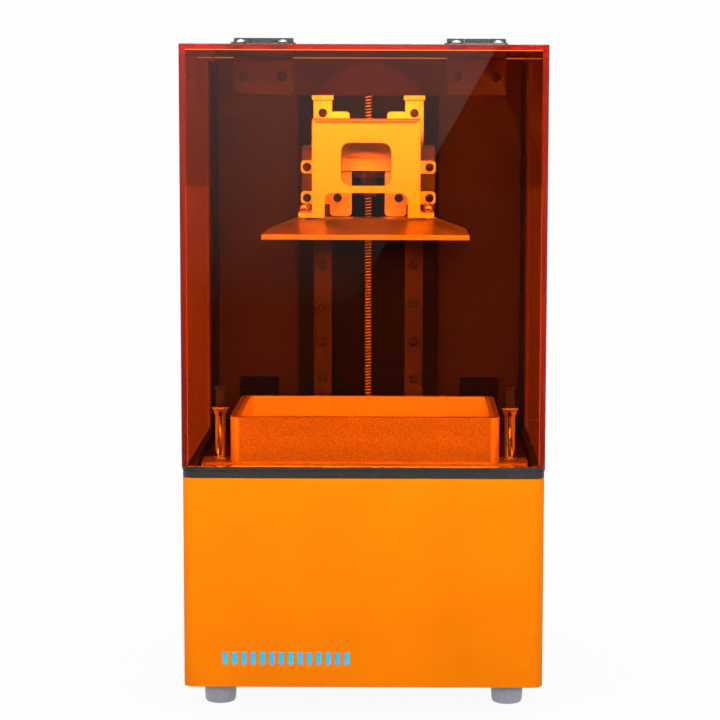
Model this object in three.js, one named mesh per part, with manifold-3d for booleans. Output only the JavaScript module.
// A desktop resin printer of the masked-LCD kind: a painted steel base with the light source and the
// electronics, a resin vat on its deck, a build plate on a Z axis with twin linear rails, and a tinted
// cover that swings up on two hinges. Millimetres, +Z up, the front faces -Y, feet on Z = 0.
import * as THREE from "three";
import { mergeVertices } from "three/addons/utils/BufferGeometryUtils.js";
import Module from "manifold-3d";

const wasm = await Module();
wasm.setup();

// ---- Driving dimensions ----
const GAP = 0.3; // between pieces that touch
const FOOTPRINT = 215; // width and depth of the base
const CORNER_R = 7; // vertical corners of the base
const WALL = 2; // sheet steel of the base
const FOOT_H = 13.7;
const FOOT_R = 10;
const FOOT_AT = 87;
const BASE_TOP = 140.1;
const DECK_TOP = 138.9;
const DECK_T = 3;
const TRIM_TOP = 146.7;
const TRIM_LIP = 0.5; // how far the trim's lip stands out past the base
const TRIM_W = 6;
const HOOD_TOP = 395;
const HOOD_T = 3.2; // tinted acrylic
const PANEL_T = 6; // fixed back panel
const RETURN_DEPTH = 62; // how far the panel's side flanges reach forward
const RETURN_X = 102.2; // inner face of the side flanges
const RETURN_T = 1.2;

const HINGE_X = 72;
const HINGE_W = 40;
const HINGE_R = 5;
const HINGE_Y = 113;
const HINGE_Z = 400.3;
const HINGE_PIN_R = 2;
const BACKING_Z0 = 367; // foot of the plates behind the fixed leaves
const LEAF_TOP = 401.8;

const COLUMN_W = 92;
const COLUMN_FRONT = 65;
const COLUMN_TOP = 366.5;
const RAIL_X = 30;
const RAIL_W = 12;
const RAIL_H = 8;
const RAIL_Z0 = 142.5;
const RAIL_LENGTH = 220.7;
const RAIL_PITCH = 25;
const BLOCK_W = 27;
const BLOCK_L = 45.4;
const BLOCK_T = 10;
const BLOCK_FRONT = COLUMN_FRONT - 13;
const BLOCK_Z = 310; // middle of the bearing blocks, in the stored position
const BLOCK_HOLES = 20; // screw spacing, both ways
const SCREW_Y = 52;
const SCREW_R = 3;
const SCREW_Z0 = 154;
const SCREW_TOP = 367;
const SHEET = 2.5; // sheet metal of the arm
const COUPLER_R = 8;
const COUPLER_Z0 = 142;
const COUPLER_TOP = 166;
const SHAFT_R = 2.5;
const SHAFT_Z0 = 123;
const MOTOR_SIZE = 42.3;
const MOTOR_BOSS_R = 11;

const ARM_HALF_W = 33.5;
const ARM_FRONT = -29;
const ARM_BOTTOM = 290.6;
const ARM_TOP = 351.6;
const ARM_REAR = 48.9;
const ARM_REAR_BOTTOM = 307; // the arm's rear half passes over the vat's rim
const FLANGE_HALF_W = 42; // outer edge of the flanges that hold the levelling screws
const FLANGE_Y1 = 6;
const FLANGE_TOP = 293.8;
const WINDOW_W = 31;
const WINDOW_H = 26.5;
const WINDOW_Z = 323.65;
const ARCH_W = 51.6; // cut-out under the window
const ARCH_TOP = 306;
const NUT_BAR_Z0 = 317.7;
const NUT_BAR_TOP = 326;
const WEB_TOP = 344; // upright sheet behind the window
const NUT_R = 10.2;
const NUT_NECK_R = 5.2;
const NUT_Z0 = 301;
const LEVELLER_X = 38.5;
const LEVELLER_Y = [-23, 1];

const PLATE_Y = -12;
const PLATE_W = 127;
const PLATE_D = 80;
const PLATE_BOTTOM = 278.3;
const PLATE_EDGE = 3.1;
const PLATE_TOP = 289.6;
const PLATEAU_W = 86;
const PLATEAU_D = 38;

const VAT_Y = -10;
const VAT_W = 165;
const VAT_D = 106;
const VAT_WALL = 6;
const VAT_R = 7; // vertical corners of the vat
const VAT_BOTTOM = DECK_TOP + GAP;
const VAT_TOP = 170.5;
const EAR_HALF_W = 100;
const EAR_D = 25;
const EAR_OUT = 2.5; // how far the ears stand out in front of the vat
const EAR_TOP = 142.8;
const FILM_Z = 143.4;
const THUMB_X = 89;
const THUMB_Y = -51.5;

const LAMP_Z0 = 62;
const LAMP_W = 132;
const LAMP_D = 80;
const LED_FAN_Z0 = 23.7;
const FAN_T = 15;
const EXHAUST_X = -60;
const EXHAUST_Z = 70;
const SWITCH_X = 62;
const SWITCH_Z = 66;
const SWITCH_PIVOT_Y = 106.5;
const ROCKER_TILT = 12; // degrees
const INLET_Z = 40;
const SCREEN_Y = -30;
const SCREEN_Z = 80;
const BEZEL_W = 89.4;
const BEZEL_H = 59.4;
const SCREEN_W = 74;
const SCREEN_H = 46;
const USB_Y = 70;
const USB_Z = 45;

const HALF = FOOTPRINT / 2;
const EXHAUST_REAR = HALF - WALL - GAP;
const REAR_REACH = HINGE_Y + HINGE_R;
const FRONT_REACH = HALF + TRIM_LIP;

// ---- Solids ----
function solid(geometry) {
  geometry.deleteAttribute("normal");
  geometry.deleteAttribute("uv");
  const merged = mergeVertices(geometry, 1e-4);
  return new wasm.Manifold(
    new wasm.Mesh({
      numProp: 3,
      vertProperties: new Float32Array(merged.attributes.position.array),
      triVerts: new Uint32Array(merged.index.array),
    }),
  );
}

function block(x0, x1, y0, y1, z0, z1) {
  const geometry = new THREE.BoxGeometry(x1 - x0, y1 - y0, z1 - z0);
  geometry.translate((x0 + x1) / 2, (y0 + y1) / 2, (z0 + z1) / 2);
  return solid(geometry);
}

// A block that is centred on x and y.
function slab(x, y, width, depth, z0, z1) {
  return block(x - width / 2, x + width / 2, y - depth / 2, y + depth / 2, z0, z1);
}

function roundedShape(width, height, radius) {
  const w = width / 2;
  const h = height / 2;
  const shape = new THREE.Shape();
  shape.moveTo(-w + radius, -h);
  shape.lineTo(w - radius, -h);
  shape.absarc(w - radius, -h + radius, radius, -Math.PI / 2, 0);
  shape.lineTo(w, h - radius);
  shape.absarc(w - radius, h - radius, radius, 0, Math.PI / 2);
  shape.lineTo(-w + radius, h);
  shape.absarc(-w + radius, h - radius, radius, Math.PI / 2, Math.PI);
  shape.lineTo(-w, -h + radius);
  shape.absarc(-w + radius, -h + radius, radius, Math.PI, 1.5 * Math.PI);
  return shape;
}

function roundedSlab(x, y, width, depth, radius, z0, z1, steps = 4) {
  const geometry = new THREE.ExtrudeGeometry(roundedShape(width, depth, radius), {
    depth: z1 - z0,
    bevelEnabled: false,
    curveSegments: steps,
  });
  geometry.translate(x, y, z0);
  return solid(geometry);
}

// A rounded slab in the XZ plane, from y0 to y1.
function uprightSlab(x, z, width, height, radius, y0, y1, steps = 4) {
  const geometry = new THREE.ExtrudeGeometry(roundedShape(width, height, radius), {
    depth: y1 - y0,
    bevelEnabled: false,
    curveSegments: steps,
  });
  geometry.rotateX(Math.PI / 2);
  geometry.translate(x, y1, z);
  return solid(geometry);
}

function ring(x, y, outer, inner, radius, z0, z1) {
  const hole = roundedSlab(x, y, inner[0], inner[1], Math.max(radius - 1, 1), z0 - 1, z1 + 1);
  return roundedSlab(x, y, outer[0], outer[1], radius, z0, z1).subtract(hole);
}

function rod(x, y, radius, z0, z1, segments = 24) {
  const geometry = new THREE.CylinderGeometry(radius, radius, z1 - z0, segments);
  geometry.rotateX(Math.PI / 2);
  geometry.translate(x, y, (z0 + z1) / 2);
  return solid(geometry);
}

function rodAlongY(x, z, radius, y0, y1, segments = 16) {
  const geometry = new THREE.CylinderGeometry(radius, radius, y1 - y0, segments);
  geometry.translate(x, (y0 + y1) / 2, z);
  return solid(geometry);
}

function rodAlongX(y, z, radius, x0, x1, segments = 24) {
  const geometry = new THREE.CylinderGeometry(radius, radius, x1 - x0, segments);
  geometry.rotateZ(Math.PI / 2);
  geometry.translate((x0 + x1) / 2, y, z);
  return solid(geometry);
}

// A turned piece on a vertical axis. profile holds [radius, z] pairs from the axis back to the axis.
function turned(x, y, profile, segments = 24) {
  const points = profile.map(([r, z]) => new THREE.Vector2(r, z));
  const geometry = new THREE.LatheGeometry(points, segments);
  geometry.rotateX(Math.PI / 2);
  geometry.translate(x, y, 0);
  return solid(geometry);
}

// A flat outline of [y, z] points, extruded along X.
function sideProfile(points, x0, x1) {
  const shape = new THREE.Shape(points.map(([y, z]) => new THREE.Vector2(y, z)));
  const geometry = new THREE.ExtrudeGeometry(shape, { depth: x1 - x0, bevelEnabled: false });
  geometry.rotateX(Math.PI / 2);
  geometry.rotateZ(Math.PI / 2);
  geometry.translate(x0, 0, 0);
  return solid(geometry);
}

const joined = (solids) => solids.reduce((all, one) => all.add(one));
const without = (body, holes) => holes.reduce((left, hole) => left.subtract(hole), body);

// ---- Materials ----
function surface(color, roughness, metalness, extra = {}) {
  return new THREE.MeshStandardMaterial({ color, roughness, metalness, flatShading: true, ...extra });
}

const orangePaint = surface(0xff8c10, 0.45, 0.1);
const blackPaint = surface(0x17171a, 0.5, 0.2);
const trimPlastic = surface(0x1c1c20, 0.55, 0.0);
const footRubber = surface(0x8c8a96, 0.8, 0.0);
const tinted = surface(0xc03c08, 0.08, 0.0, { transparent: true, opacity: 0.4 });
const hingeMetal = surface(0x2c2c30, 0.4, 0.8);
const brightSteel = surface(0xd0d0d2, 0.25, 1.0);
const anodised = surface(0xd8d4cc, 0.35, 0.9);
const castAluminium = surface(0xb8b6b2, 0.5, 0.9);
const polymer = surface(0x141416, 0.5, 0.0);
const circuitBoard = surface(0x1c5a34, 0.5, 0.1);
const displayGlass = surface(0x0c0d12, 0.05, 0.0);
const clearFilm = surface(0xe8ecee, 0.1, 0.0, { transparent: true, opacity: 0.35 });

function mesh(name, body, material) {
  const made = body.getMesh();
  const geometry = new THREE.BufferGeometry();
  const corners = new Float32Array(made.vertProperties);
  geometry.setAttribute("position", new THREE.BufferAttribute(corners, 3));
  geometry.setIndex(new THREE.BufferAttribute(new Uint32Array(made.triVerts), 1));
  geometry.computeVertexNormals();
  const node = new THREE.Mesh(geometry, material);
  node.name = name;
  return node;
}

const SIDES = [
  ["left", -1],
  ["right", 1],
];

// ---- Base ----
// A rectangular cut into the right-hand side, from x0 outwards.
function sideOpening(y, z, width, height, x0) {
  return block(x0, HALF + 1, y - width / 2, y + width / 2, z - height / 2, z + height / 2);
}

function baseShell() {
  const inside = FOOTPRINT - 2 * WALL;
  const walls = ring(0, 0, [FOOTPRINT, FOOTPRINT], [inside, inside], CORNER_R, FOOT_H, BASE_TOP);
  const ledgeTop = DECK_TOP - DECK_T - GAP;
  const ledgeOuter = [inside + 1, inside + 1];
  const ledge = ring(0, 0, ledgeOuter, [190, 190], CORNER_R - 1, ledgeTop - WALL, ledgeTop);
  const cuts = [
    sideOpening(SCREEN_Y, SCREEN_Z, BEZEL_W + 2 * GAP, BEZEL_H + 2 * GAP, HALF - 4),
    sideOpening(USB_Y, USB_Z, 15, 8.4, HALF - 4),
    block(SWITCH_X - 10, SWITCH_X + 10, HALF - 4, HALF + 1, SWITCH_Z - 7.8, SWITCH_Z + 7.8),
    rodAlongY(SWITCH_X, INLET_Z, 6.3, HALF - 4, HALF + 1, 24),
  ];
  for (let row = -2; row <= 2; row += 1) {
    const z = EXHAUST_Z + row * 7;
    cuts.push(block(EXHAUST_X - 17, EXHAUST_X + 17, HALF - 4, HALF + 1, z - 2, z + 2));
  }
  for (let slot = -3; slot <= 3; slot += 1) {
    const y = slot * 12;
    cuts.push(block(-HALF - 1, -HALF + 4, y - 2.1, y + 2.1, 40, 80));
  }
  return without(walls.add(ledge), cuts);
}

function bottomPlate() {
  const width = FOOTPRINT - 2 * WALL - 2 * GAP;
  const plate = roundedSlab(0, 0, width, width, CORNER_R - WALL, FOOT_H, FOOT_H + WALL);
  const slots = [];
  for (let row = -3; row <= 3; row += 1) {
    slots.push(slab(0, PLATE_Y + row * 7.5, 44, 4, FOOT_H - 1, FOOT_H + WALL + 1));
  }
  return without(plate, slots);
}

function foot(x, y) {
  const profile = [
    [0, 0],
    [FOOT_R - 2.2, 0],
    [FOOT_R - 1.2, 0.5],
    [FOOT_R - 0.7, 1.6],
    [FOOT_R, FOOT_H - 2],
    [FOOT_R, FOOT_H - GAP],
    [0, FOOT_H - GAP],
  ];
  return turned(x, y, profile, 24);
}

function deckPlate() {
  const width = FOOTPRINT - 2 * WALL - 2 * GAP;
  const z0 = DECK_TOP - DECK_T;
  const plate = roundedSlab(0, 0, width, width, CORNER_R - WALL, z0, DECK_TOP);
  return without(plate, [
    slab(0, PLATE_Y, 122, 70, z0 - 1, DECK_TOP + 1),
    rod(0, SCREW_Y, MOTOR_BOSS_R + GAP, z0 - 1, DECK_TOP + 1),
    rod(-THUMB_X, THUMB_Y, 2.7, z0 - 1, DECK_TOP + 1, 16),
    rod(THUMB_X, THUMB_Y, 2.7, z0 - 1, DECK_TOP + 1, 16),
  ]);
}

function deckTrim() {
  const inner = FOOTPRINT - 2 * TRIM_W;
  const inside = FOOTPRINT - 2 * WALL - 2 * GAP;
  const lip = FOOTPRINT + 2 * TRIM_LIP;
  const seat = BASE_TOP + GAP;
  const groove = FOOTPRINT - 1.2;
  return joined([
    ring(0, 0, [inside, inside], [inner, inner], CORNER_R - WALL, DECK_TOP + GAP, TRIM_TOP - 1),
    ring(0, 0, [FOOTPRINT, FOOTPRINT], [inner, inner], CORNER_R, seat, seat + 3.9),
    ring(0, 0, [groove, groove], [inner, inner], CORNER_R, seat + 3.8, seat + 4.7),
    ring(0, 0, [lip, lip], [inner, inner], CORNER_R, seat + 4.6, TRIM_TOP),
  ]);
}

function backBracket(side) {
  const x0 = side > 0 ? 62 : -88;
  const rear = HALF - TRIM_W - GAP;
  const z0 = DECK_TOP + GAP;
  const onDeck = block(x0, x0 + 26, rear - 24, rear, z0, z0 + 2);
  const upright = block(x0, x0 + 26, rear - 2, rear, z0, 176);
  return onDeck.add(upright);
}

// The fixed back of the chamber, with a flange along each side wall of the cover.
function backPanel(top) {
  const bottom = TRIM_TOP + GAP;
  const front = HALF - PANEL_T;
  const panel = block(-HALF, HALF, front, HALF, bottom, top);
  const flanges = SIDES.map(([, side]) => {
    const x0 = side > 0 ? RETURN_X : -RETURN_X - RETURN_T;
    return block(x0, x0 + RETURN_T, front - RETURN_DEPTH, front + 1, bottom, top - HOOD_T);
  });
  return joined([panel, ...flanges]);
}

// ---- Light source, cooling and electronics, inside the base ----
function lampHousing() {
  const outer = [LAMP_W, LAMP_D];
  const inner = [LAMP_W - 2 * WALL, LAMP_D - 2 * WALL];
  return ring(0, PLATE_Y, outer, inner, 3, LAMP_Z0, DECK_TOP - DECK_T - GAP);
}

function ledBoard() {
  const top = LAMP_Z0 - GAP;
  const lamps = [slab(0, PLATE_Y, 128, 76, top - WALL, top)];
  for (let column = -3; column <= 3; column += 1) {
    for (let row = -1; row <= 1; row += 1) {
      lamps.push(slab(column * 16.5, PLATE_Y + row * 21, 5, 5, top - 0.1, top + 1.5));
    }
  }
  return joined(lamps);
}

function heatsink() {
  const top = LAMP_Z0 - WALL - 2 * GAP;
  const fins = [slab(0, PLATE_Y, 100, 72, top - 4, top)];
  for (let fin = -5; fin <= 5; fin += 1) {
    fins.push(slab(fin * 9.7, PLATE_Y, 1.8, 72, LED_FAN_Z0 + FAN_T + GAP, top - 3.9));
  }
  return joined(fins);
}

// A fan's frame and its rotor, on a vertical axis through the origin, from z = 0 to its thickness.
function fanFrame(size, bore, thickness) {
  const opening = rod(0, 0, bore, -1, thickness + 1, 28);
  const frame = roundedSlab(0, 0, size, size, 3, 0, thickness).subtract(opening);
  const hub = rod(0, 0, size * 0.2, 0, 2.4);
  const struts = [0, 1].map((turn) => {
    const strut = slab(0, 0, 2 * bore + 1, 3, 0, 2.4);
    return strut.rotate([0, 0, 45 + 90 * turn]);
  });
  return joined([frame, hub, ...struts]);
}

function fanRotor(hubRadius, reach, thickness) {
  const z0 = 2.8;
  const blades = [rod(0, 0, hubRadius, z0, thickness - 0.6)];
  for (let blade = 0; blade < 7; blade += 1) {
    const wing = slab(0, 0, reach - hubRadius + 2, 1.4, -4.6, 4.6);
    const pitched = wing.rotate([42, 0, 0]).translate([(reach + hubRadius) / 2 - 1, 0, z0 + 5.2]);
    blades.push(pitched.rotate([0, 0, (360 / 7) * blade]));
  }
  return joined(blades);
}

function mainboard() {
  const x0 = -100;
  const z0 = FOOT_H + WALL + GAP;
  const boardZ = z0 + 5;
  const parts = [block(x0, -40, -92, 6, boardZ, boardZ + 1.6)];
  for (const x of [x0 + 5, -45]) {
    for (const y of [-87, 1]) {
      parts.push(rod(x, y, 3, z0, boardZ + 0.5, 12));
    }
  }
  parts.push(block(x0 + 8, x0 + 26, -80, -62, boardZ + 1, boardZ + 4));
  parts.push(block(x0 + 34, x0 + 52, -82, -70, boardZ + 1, boardZ + 11));
  parts.push(block(x0 + 8, x0 + 50, -50, -40, boardZ + 1, boardZ + 9));
  parts.push(rod(x0 + 18, -22, 5, boardZ + 1, boardZ + 13, 20));
  parts.push(rod(x0 + 34, -22, 5, boardZ + 1, boardZ + 13, 20));
  return joined(parts);
}

function touchBezel() {
  const y0 = SCREEN_Y - BEZEL_W / 2;
  const z0 = SCREEN_Z - BEZEL_H / 2;
  const outer = block(HALF - 3.5, HALF, y0, y0 + BEZEL_W, z0, z0 + BEZEL_H);
  return outer.subtract(sideOpening(SCREEN_Y, SCREEN_Z, SCREEN_W, SCREEN_H, HALF - 5));
}

function touchScreen() {
  const y0 = SCREEN_Y - SCREEN_W / 2 + GAP;
  const z0 = SCREEN_Z - SCREEN_H / 2 + GAP;
  return block(HALF - 6, HALF - 1.2, y0, y0 + SCREEN_W - 2 * GAP, z0, z0 + SCREEN_H - 2 * GAP);
}

function usbPort() {
  const body = block(HALF - 15, HALF - GAP, USB_Y - 7.2, USB_Y + 7.2, USB_Z - 3.9, USB_Z + 3.9);
  return body.subtract(sideOpening(USB_Y, USB_Z, 12.4, 5.2, HALF - 12));
}

function powerInlet() {
  const body = rodAlongY(SWITCH_X, INLET_Z, 6, HALF - 13, HALF + GAP, 32);
  const flange = rodAlongY(SWITCH_X, INLET_Z, 8, HALF + GAP, HALF + 2, 32);
  const socket = rodAlongY(SWITCH_X, INLET_Z, 3.2, HALF - 10, HALF + 3, 24);
  const pin = rodAlongY(SWITCH_X, INLET_Z, 1, HALF - 11, HALF - 1, 12);
  return body.add(flange).subtract(socket).add(pin);
}

function switchHousing() {
  const box = (width, height, y0, y1) =>
    block(SWITCH_X - width / 2, SWITCH_X + width / 2, y0, y1, SWITCH_Z - height / 2, SWITCH_Z + height / 2);
  const body = box(19.4, 15, HALF - 14, HALF + GAP);
  const flange = box(23, 18, HALF + GAP, HALF + 2);
  const well = box(17.2, 13, HALF - 9, HALF + 3);
  return body.add(flange).subtract(well);
}

// The rocker is drawn level about its pivot and stored tipped to its off side.
function rocker() {
  const outline = [
    [-4.5, -3],
    [-4.5, 3],
    [3.4, 5.4],
    [2.6, 0],
    [3.4, -5.4],
  ];
  const key = sideProfile(outline, -8.2, 8.2);
  return key.rotate([-ROCKER_TILT, 0, 0]).translate([SWITCH_X, SWITCH_PIVOT_Y, SWITCH_Z]);
}

// ---- Z axis ----
function zColumn() {
  const rear = HALF - TRIM_W - GAP;
  const depth = rear - COLUMN_FRONT;
  const middle = (rear + COLUMN_FRONT) / 2;
  const wall = 4;
  const cell = (COLUMN_W - 4 * wall) / 3;
  const z0 = DECK_TOP + GAP;
  const cells = [-1, 0, 1].map((place) =>
    slab(place * (cell + wall), middle, cell, depth - 2 * wall, z0 - 1, COLUMN_TOP + 1),
  );
  return without(roundedSlab(0, middle, COLUMN_W, depth, 1.5, z0, COLUMN_TOP, 2), cells);
}

function rail(x) {
  const back = COLUMN_FRONT - GAP;
  const front = COLUMN_FRONT - RAIL_H;
  const groove = (front + back) / 2 - 0.6;
  const top = RAIL_Z0 + RAIL_LENGTH;
  const cuts = [-1, 1].map((side) =>
    slab(x + side * (RAIL_W / 2 + 0.1), groove, 2, 2.4, RAIL_Z0 - 1, top + 1),
  );
  for (let z = RAIL_Z0 + RAIL_PITCH / 2; z < top; z += RAIL_PITCH) {
    cuts.push(rodAlongY(x, z, 3, front - 1, front + 4.5, 12));
    cuts.push(rodAlongY(x, z, 1.75, front, back + 1, 8));
  }
  return without(block(x - RAIL_W / 2, x + RAIL_W / 2, front, back, RAIL_Z0, top), cuts);
}

function bearingBlock(x) {
  const z0 = BLOCK_Z - BLOCK_L / 2;
  const body = slab(x, BLOCK_FRONT + BLOCK_T / 2, BLOCK_W, BLOCK_T, z0, z0 + BLOCK_L);
  const channel = block(
    x - RAIL_W / 2 - GAP,
    x + RAIL_W / 2 + GAP,
    COLUMN_FRONT - RAIL_H - GAP,
    COLUMN_FRONT,
    z0 - 1,
    z0 + BLOCK_L + 1,
  );
  return body.subtract(channel);
}

function armPlate(side) {
  const y1 = BLOCK_FRONT - GAP;
  const y0 = y1 - SHEET;
  const part = (inner, outer, z0, z1) => {
    const x = side * (inner + outer) * 0.5;
    return uprightSlab(x, (z0 + z1) / 2, outer - inner, z1 - z0, 2.4, y0, y1, 3);
  };
  const plate = joined([
    part(12.2, 25, 330, 356),
    part(12.2, 33, 306, 345),
    part(10.8, 25, 288, 340),
    part(19, 44, 295.8, 304.2),
    part(19, 44, 315.8, 324.2),
  ]);
  const holes = [-1, 1].flatMap((up) =>
    [-1, 1].map((across) => {
      const x = side * RAIL_X + (across * BLOCK_HOLES) / 2;
      return rodAlongY(x, BLOCK_Z + (up * BLOCK_HOLES) / 2, 1.7, y0 - 1, y1 + 1);
    }),
  );
  return without(plate, holes);
}

function armBracket() {
  const w = ARM_HALF_W;
  const front = ARM_FRONT + SHEET;
  const hood = joined([
    block(-w, w, ARM_FRONT, front, ARM_BOTTOM, ARM_TOP - 3),
    block(-w, w, ARM_FRONT + 3, ARM_REAR, ARM_TOP - SHEET, ARM_TOP),
    rodAlongX(ARM_FRONT + 3.5, ARM_TOP - 3.5, 3.5, -w, w, 32),
    block(-w, w, ARM_FRONT, front + 2, ARM_TOP - 6, ARM_TOP - 3.4),
  ]);
  const cheeks = SIDES.map(([, side]) => {
    const cheek = (y1, z0, z1) => {
      const depth = y1 - ARM_FRONT;
      return slab(side * (w - SHEET / 2), ARM_FRONT + depth / 2, SHEET, depth, z0, z1);
    };
    return cheek(8, ARM_BOTTOM, ARM_TOP - 3).add(cheek(ARM_REAR, ARM_REAR_BOTTOM, ARM_TOP - 1));
  });
  const flanges = SIDES.map(([, side]) => {
    const width = FLANGE_HALF_W - w + SHEET;
    const x = side * (FLANGE_HALF_W - width / 2);
    const depth = FLANGE_Y1 - ARM_FRONT;
    return slab(x, ARM_FRONT + depth / 2, width, depth, ARM_BOTTOM, FLANGE_TOP);
  });
  const cuts = [
    uprightSlab(0, WINDOW_Z, WINDOW_W, WINDOW_H, 5.5, ARM_FRONT - 1, front + 1, 6),
    uprightSlab(0, ARCH_TOP - 13, ARCH_W, 26, 5, ARM_FRONT - 1, front + 1, 6),
  ];
  for (const [, side] of SIDES) {
    for (const y of LEVELLER_Y) {
      cuts.push(rod(side * LEVELLER_X, y, 2, ARM_BOTTOM - 1, FLANGE_TOP + 1, 16));
    }
  }
  return without(joined([hood, ...cheeks, ...flanges]), cuts);
}

function nutBracket() {
  const bar = block(-17, 17, 40, ARM_REAR - GAP, NUT_BAR_Z0, NUT_BAR_TOP);
  const web = block(-25, 25, ARM_REAR - GAP - SHEET, ARM_REAR - GAP, NUT_BAR_Z0, WEB_TOP);
  const tongue = block(-9.5, 9.5, 45, 62, NUT_BAR_Z0, NUT_BAR_TOP);
  const bore = rod(0, SCREW_Y, 4.2, NUT_BAR_Z0 - 1, NUT_BAR_TOP + 1);
  return joined([bar, web, tongue]).subtract(bore);
}

function leadNut() {
  const top = NUT_BAR_Z0 - GAP;
  const flange = rod(0, SCREW_Y, NUT_R, top - 4, top, 32);
  const neck = rod(0, SCREW_Y, NUT_NECK_R, NUT_Z0, top - 3.9, 32);
  const bore = rod(0, SCREW_Y, SCREW_R + GAP, NUT_Z0 - 1, top + 1, 32);
  return flange.add(neck).subtract(bore);
}

function buildPlate() {
  const edgeTop = PLATE_BOTTOM + PLATE_EDGE;
  const base = slab(0, PLATE_Y, PLATE_W, PLATE_D, PLATE_BOTTOM, edgeTop);
  const slope = new THREE.CylinderGeometry(Math.SQRT1_2, Math.SQRT1_2, 1, 4);
  slope.rotateY(Math.PI / 4);
  slope.rotateX(Math.PI / 2);
  const corners = slope.attributes.position;
  for (let i = 0; i < corners.count; i += 1) {
    const high = corners.getZ(i) > 0;
    corners.setX(i, corners.getX(i) * (high ? PLATEAU_W : PLATE_W));
    corners.setY(i, corners.getY(i) * (high ? PLATEAU_D : PLATE_D) + PLATE_Y + (high ? 1 : 0));
    corners.setZ(i, high ? PLATE_TOP : edgeTop - 0.1);
  }
  const wells = [];
  for (const [, side] of SIDES) {
    for (const y of LEVELLER_Y) {
      wells.push(rod(side * LEVELLER_X, y, 1.9, PLATE_TOP - 6, PLATE_TOP + 1, 16));
    }
  }
  return without(base.add(solid(slope)), wells);
}

function leveller(x, y) {
  const seat = FLANGE_TOP + GAP;
  const profile = [
    [0, PLATE_TOP - 5.5],
    [1.5, PLATE_TOP - 5.5],
    [1.5, seat],
    [2.9, seat],
    [2.9, seat + 3.9],
    [2.4, seat + 4.4],
    [0, seat + 4.4],
  ];
  return turned(x, y, profile, 20);
}

function zMotor() {
  const top = DECK_TOP - DECK_T - GAP;
  const body = roundedSlab(0, SCREW_Y, MOTOR_SIZE, MOTOR_SIZE, 4, top - 40, top, 1);
  const boss = rod(0, SCREW_Y, MOTOR_BOSS_R, top - 1, top + 2, 32);
  const bore = rod(0, SCREW_Y, SHAFT_R + GAP, SHAFT_Z0 - 1, top + 3);
  return body.add(boss).subtract(bore);
}

// The motor's shaft and the coupler that clamps it to the lead screw.
function coupler() {
  const shaft = rod(0, SCREW_Y, SHAFT_R, SHAFT_Z0, SCREW_Z0 - 4);
  const body = rod(0, SCREW_Y, COUPLER_R, COUPLER_Z0, COUPLER_TOP, 32);
  const bore = rod(0, SCREW_Y, SCREW_R + GAP, SCREW_Z0 - 1, COUPLER_TOP + 1);
  return body.subtract(bore).add(shaft);
}

// ---- Vat ----
function vatBody() {
  const outer = roundedSlab(0, VAT_Y, VAT_W, VAT_D, VAT_R, VAT_BOTTOM, VAT_TOP, 8);
  const earY = VAT_Y - VAT_D / 2 - EAR_OUT + EAR_D / 2;
  const ears = roundedSlab(0, earY, 2 * EAR_HALF_W, EAR_D, 2.5, VAT_BOTTOM, EAR_TOP);
  const inner = [VAT_W - 2 * VAT_WALL, VAT_D - 2 * VAT_WALL];
  const innerRear = VAT_Y + inner[1] / 2;
  return without(outer.add(ears), [
    roundedSlab(0, VAT_Y, inner[0], inner[1], VAT_R - 3, VAT_BOTTOM - 1, VAT_TOP + 1, 6),
    roundedSlab(0, VAT_Y, inner[0] + 6, inner[1] + 6, 4, VAT_BOTTOM - 1, FILM_Z + 0.5),
    roundedSlab(0, innerRear, 17, 3.6, 1.2, 152, VAT_TOP + 1),
    rod(-THUMB_X, THUMB_Y, 2.7, VAT_BOTTOM - 1, EAR_TOP + 1, 16),
    rod(THUMB_X, THUMB_Y, 2.7, VAT_BOTTOM - 1, EAR_TOP + 1, 16),
  ]);
}

function thumbscrew(x) {
  const seat = EAR_TOP + GAP;
  const profile = [
    [0, DECK_TOP - DECK_T - 4],
    [2.4, DECK_TOP - DECK_T - 4],
    [2.4, seat],
    [5.2, seat],
    [5.2, seat + 1.6],
    [3, seat + 2.6],
    [3, seat + 27],
    [4.4, seat + 30.3],
    [5.2, seat + 31.1],
    [5.2, seat + 32.5],
    [3.4, seat + 33.3],
    [3.4, seat + 44.3],
    [2.6, seat + 45.1],
    [0, seat + 45.1],
  ];
  return turned(x, THUMB_Y, profile, 20);
}

// ---- Cover and hinges ----
function hoodCover() {
  const bottom = TRIM_TOP + GAP;
  const ceiling = HOOD_TOP - HOOD_T;
  const inner = HALF - HOOD_T;
  const walls = block(-HALF, HALF, -HALF, HALF - PANEL_T - GAP, bottom, HOOD_TOP);
  const top = block(-HALF, HALF, 0, HALF, ceiling, HOOD_TOP);
  return walls.add(top).subtract(block(-inner, inner, -inner, HALF, bottom - 1, ceiling));
}

function movingLeaf(x) {
  const knuckle = HINGE_W * 0.4;
  const edge = HINGE_Y - HINGE_R - GAP;
  const seat = HOOD_TOP + GAP;
  return joined([
    roundedSlab(x, edge - 13, HINGE_W, 26, 2, seat, LEAF_TOP),
    block(x - knuckle / 2, x + knuckle / 2, edge - 2, HINGE_Y, seat, LEAF_TOP),
    rodAlongX(HINGE_Y, HINGE_Z, HINGE_R, x - knuckle / 2, x + knuckle / 2),
  ]).subtract(rodAlongX(HINGE_Y, HINGE_Z, HINGE_PIN_R + GAP, x - HINGE_W, x + HINGE_W));
}

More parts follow.
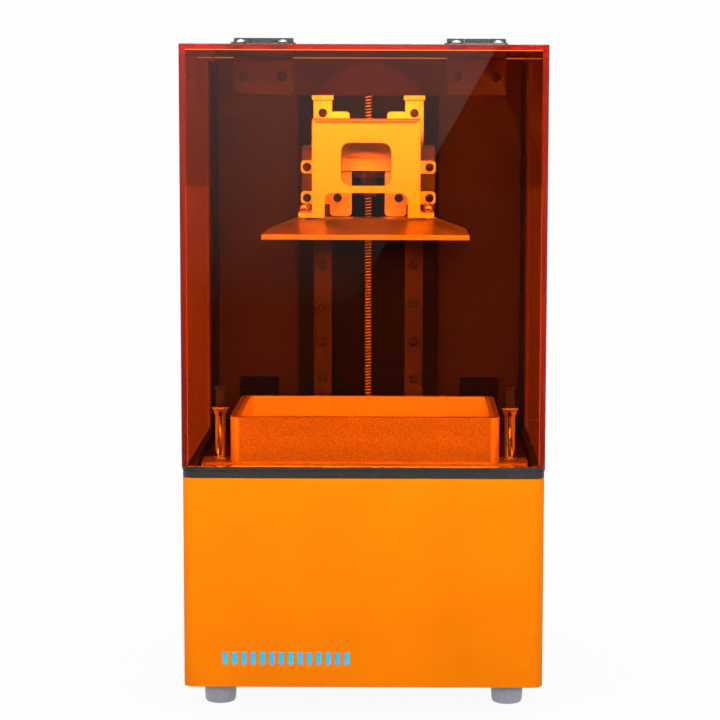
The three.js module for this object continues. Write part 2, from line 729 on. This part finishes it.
// The leaf that is screwed to the back panel, with its two outer knuckles and the pin.
function fixedLeaf(x) {
  const half = HINGE_W / 2;
  const gapHalf = HINGE_W * 0.2 + GAP;
  const parts = [
    block(x - half, x + half, HALF + GAP, HINGE_Y - 1, HINGE_Z - 32, HINGE_Z - HINGE_R - 3),
    rodAlongX(HINGE_Y, HINGE_Z, HINGE_PIN_R, x - half - 1.5, x + half + 1.5),
  ];
  for (const [from, to] of [
    [x - half, x - gapHalf],
    [x + gapHalf, x + half],
  ]) {
    parts.push(rodAlongX(HINGE_Y, HINGE_Z, HINGE_R, from, to));
    parts.push(block(from, to, HALF + 0.8, HINGE_Y, HINGE_Z - HINGE_R - 4, HINGE_Z - 1));
  }
  return joined(parts);
}

// ---- Assembly ----
const printer = new THREE.Group();

function baseGroup() {
  const group = new THREE.Group();
  group.add(mesh("base_shell", baseShell(), orangePaint));
  group.add(mesh("base_bottom_plate", bottomPlate(), blackPaint));
  for (const [depthName, y] of [
    ["front", -HALF + 22],
    ["rear", HALF - 22],
  ]) {
    for (const [name, side] of SIDES) {
      group.add(mesh(`foot_${depthName}_${name}`, foot(side * FOOT_AT, y), footRubber));
    }
  }
  const deckZ = DECK_TOP + GAP;
  group.add(mesh("deck_plate", deckPlate(), orangePaint));
  group.add(mesh("deck_trim", deckTrim(), trimPlastic));
  group.add(mesh("lcd_panel", slab(0, PLATE_Y, 126, 76, deckZ, deckZ + 2), displayGlass));
  group.add(mesh("lcd_glass", slab(0, PLATE_Y, 130, 80, deckZ + 2 + GAP, deckZ + 3.8), displayGlass));
  group.add(mesh("lamp_housing", lampHousing(), blackPaint));
  group.add(mesh("uv_led_board", ledBoard(), circuitBoard));
  group.add(mesh("heatsink", heatsink(), anodised));
  const ledFan = fanFrame(60, 28, FAN_T).translate([0, PLATE_Y, LED_FAN_Z0]);
  group.add(mesh("led_fan_frame", ledFan, polymer));
  const exhaust = fanFrame(40, 18.5, FAN_T).rotate([90, 0, 0]);
  group.add(mesh("exhaust_fan_frame", exhaust.translate([EXHAUST_X, EXHAUST_REAR, EXHAUST_Z]), polymer));
  group.add(mesh("mainboard", mainboard(), circuitBoard));
  group.add(mesh("touch_bezel", touchBezel(), trimPlastic));
  group.add(mesh("touch_screen", touchScreen(), displayGlass));
  group.add(mesh("usb_port", usbPort(), brightSteel));
  group.add(mesh("power_inlet", powerInlet(), polymer));
  group.add(mesh("switch_housing", switchHousing(), polymer));
  return group;
}

function frameGroup() {
  const group = new THREE.Group();
  const panelTop = HOOD_TOP - HOOD_T - 0.4;
  group.add(mesh("back_panel", backPanel(panelTop), blackPaint));
  group.add(mesh("z_column", zColumn(), blackPaint));
  group.add(mesh("z_motor", zMotor(), blackPaint));
  group.add(mesh("z_endstop", block(-44, -36, 57, COLUMN_FRONT - GAP, 143, 152), polymer));
  const railTop = RAIL_Z0 + RAIL_LENGTH + GAP;
  for (const [name, side] of SIDES) {
    const x = side * RAIL_X;
    const hingeX = side * HINGE_X;
    const rear = HALF - PANEL_T - GAP;
    const backing = slab(hingeX, rear - 1, HINGE_W, 2, BACKING_Z0, panelTop);
    group.add(mesh(`back_bracket_${name}`, backBracket(side), blackPaint));
    group.add(mesh(`rail_${name}`, rail(x), brightSteel));
    group.add(mesh(`rail_stop_${name}`, slab(x, 60.5, 14, 8, railTop, railTop + 3), brightSteel));
    group.add(mesh(`hinge_fixed_leaf_${name}`, fixedLeaf(hingeX), hingeMetal));
    group.add(mesh(`hinge_backing_${name}`, backing, hingeMetal));
  }
  return group;
}

function hoodGroup() {
  const group = new THREE.Group();
  group.add(mesh("hood_cover", hoodCover(), tinted));
  for (const [name, side] of SIDES) {
    group.add(mesh(`hinge_moving_leaf_${name}`, movingLeaf(side * HINGE_X), hingeMetal));
  }
  return group;
}

function carriageGroup() {
  const group = new THREE.Group();
  for (const [name, side] of SIDES) {
    group.add(mesh(`bearing_block_${name}`, bearingBlock(side * RAIL_X), brightSteel));
    group.add(mesh(`arm_plate_${name}`, armPlate(side), anodised));
    LEVELLER_Y.forEach((y, index) => {
      const place = index === 0 ? "front" : "rear";
      const screw = leveller(side * LEVELLER_X, y);
      group.add(mesh(`levelling_screw_${place}_${name}`, screw, brightSteel));
    });
  }
  group.add(mesh("arm_bracket", armBracket(), anodised));
  group.add(mesh("nut_bracket", nutBracket(), anodised));
  group.add(mesh("lead_nut", leadNut(), polymer));
  group.add(mesh("build_plate", buildPlate(), anodised));
  return group;
}

function vatGroup() {
  const group = new THREE.Group();
  const recess = [VAT_W - 2 * VAT_WALL + 6 - 2 * GAP, VAT_D - 2 * VAT_WALL + 6 - 2 * GAP];
  group.add(mesh("vat_body", vatBody(), castAluminium));
  const frame = ring(0, VAT_Y, recess, [142, 90], 3.5, VAT_BOTTOM, FILM_Z - GAP);
  group.add(mesh("film_frame", frame, anodised));
  group.add(mesh("vat_film", roundedSlab(0, VAT_Y, ...recess, 3.5, FILM_Z, FILM_Z + 0.2), clearFilm));
  for (const [name, side] of SIDES) {
    group.add(mesh(`thumbscrew_${name}`, thumbscrew(side * THUMB_X), brightSteel));
  }
  return group;
}

function turningGroup() {
  const group = new THREE.Group();
  group.add(mesh("lead_screw", rod(0, SCREW_Y, SCREW_R, SCREW_Z0, SCREW_TOP, 32), brightSteel));
  group.add(mesh("shaft_coupler", coupler(), anodised));
  const ledRotor = fanRotor(11.5, 26.5, FAN_T).translate([0, PLATE_Y, LED_FAN_Z0]);
  group.add(mesh("led_fan_rotor", ledRotor, polymer));
  const exhaustRotor = fanRotor(7.5, 17.3, FAN_T).rotate([90, 0, 0]);
  const placedRotor = exhaustRotor.translate([EXHAUST_X, EXHAUST_REAR, EXHAUST_Z]);
  group.add(mesh("exhaust_fan_rotor", placedRotor, polymer));
  group.add(mesh("power_rocker", rocker(), polymer));
  return group;
}

printer.add(baseGroup(), frameGroup(), hoodGroup(), carriageGroup(), vatGroup(), turningGroup());
// The origin is the middle of the whole footprint, hinges included.
printer.position.y = (FRONT_REACH - REAR_REACH) / 2;

export default printer;
